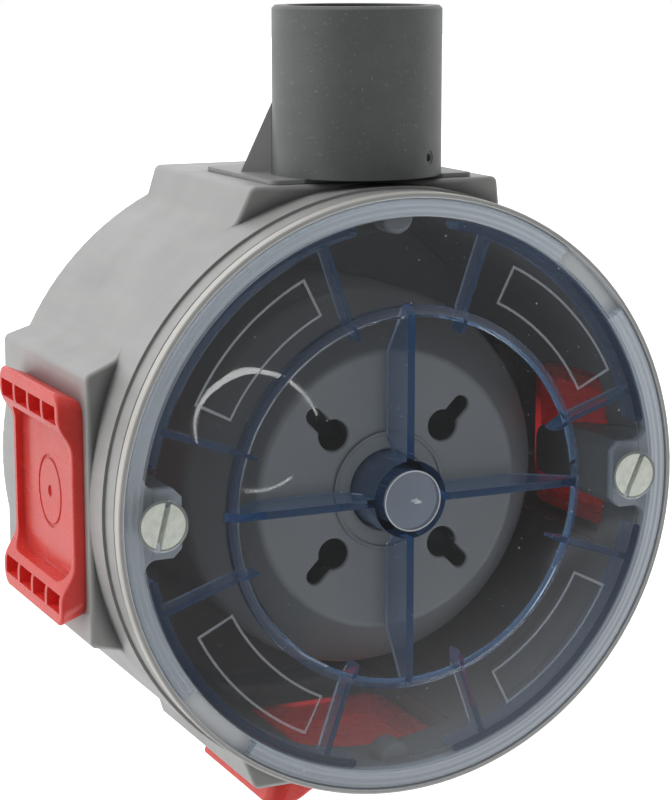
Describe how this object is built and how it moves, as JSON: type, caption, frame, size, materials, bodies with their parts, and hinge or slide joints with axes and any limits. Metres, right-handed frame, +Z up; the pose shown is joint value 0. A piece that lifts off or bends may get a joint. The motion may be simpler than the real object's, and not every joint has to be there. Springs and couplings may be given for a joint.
{
  "type": "surface conduit junction box",
  "caption": "Round surface conduit box with a clear screwed lid, a conduit socket on top and blanking plugs in the other ports.",
  "frame": {"origin": "centre of the flat face that lies on the wall", "axes": "+Y into the wall, the lid faces -Y, +Z up along the conduit socket"},
  "size_m": [0.0898, 0.0509, 0.1096],
  "materials": {
    "box_grey": "satin moulded light grey plastic",
    "socket_grey": "satin moulded mid grey plastic",
    "clear_lid": "clear blue-tinted polystyrene",
    "plug_red": "semi-gloss coral red moulded plastic",
    "zinc_screw": "zinc plated"
  },
  "bodies": {
    "box": {"box_body": "box_grey"},
    "lid": {"clear_lid": "clear_lid"},
    "left_screw": {"left_lid_screw": "zinc_screw"},
    "right_screw": {"right_lid_screw": "zinc_screw"},
    "socket": {"conduit_socket": "socket_grey"},
    "right_closer": {"right_plug": "plug_red"},
    "bottom_closer": {"bottom_plug": "plug_red"},
    "left_closer": {"left_plug": "plug_red"}
  },
  "joints": [
    {"name": "lid_lift", "type": "slide", "parent": "box", "child": "lid", "axis": [0, -1, 0], "range_m": [0, 0.014]},
    {"name": "left_screw_turn", "type": "hinge", "parent": "lid", "child": "left_screw", "pos_m": [-0.035, -0.05, 0], "axis": [0, -1, 0], "range_deg": [0, 4000]},
    {"name": "right_screw_turn", "type": "hinge", "parent": "lid", "child": "right_screw", "pos_m": [0.035, -0.05, 0], "axis": [0, -1, 0], "range_deg": [0, 4000]},
    {"name": "socket_pull", "type": "slide", "parent": "box", "child": "socket", "axis": [0, 0, 1], "range_m": [0, 0.012]},
    {"name": "right_plug_pull", "type": "slide", "parent": "box", "child": "right_closer", "axis": [1, 0, 0], "range_m": [0, 0.012]},
    {"name": "bottom_plug_pull", "type": "slide", "parent": "box", "child": "bottom_closer", "axis": [0, 0, -1], "range_m": [0, 0.012]},
    {"name": "left_plug_pull", "type": "slide", "parent": "box", "child": "left_closer", "axis": [-1, 0, 0], "range_m": [0, 0.012]}
  ],
  "couplings": [
    {"joint": "left_screw_turn", "follows": "lid_lift", "rad_per_m": 4833.2},
    {"joint": "right_screw_turn", "follows": "lid_lift", "rad_per_m": 4833.2}
  ]
}
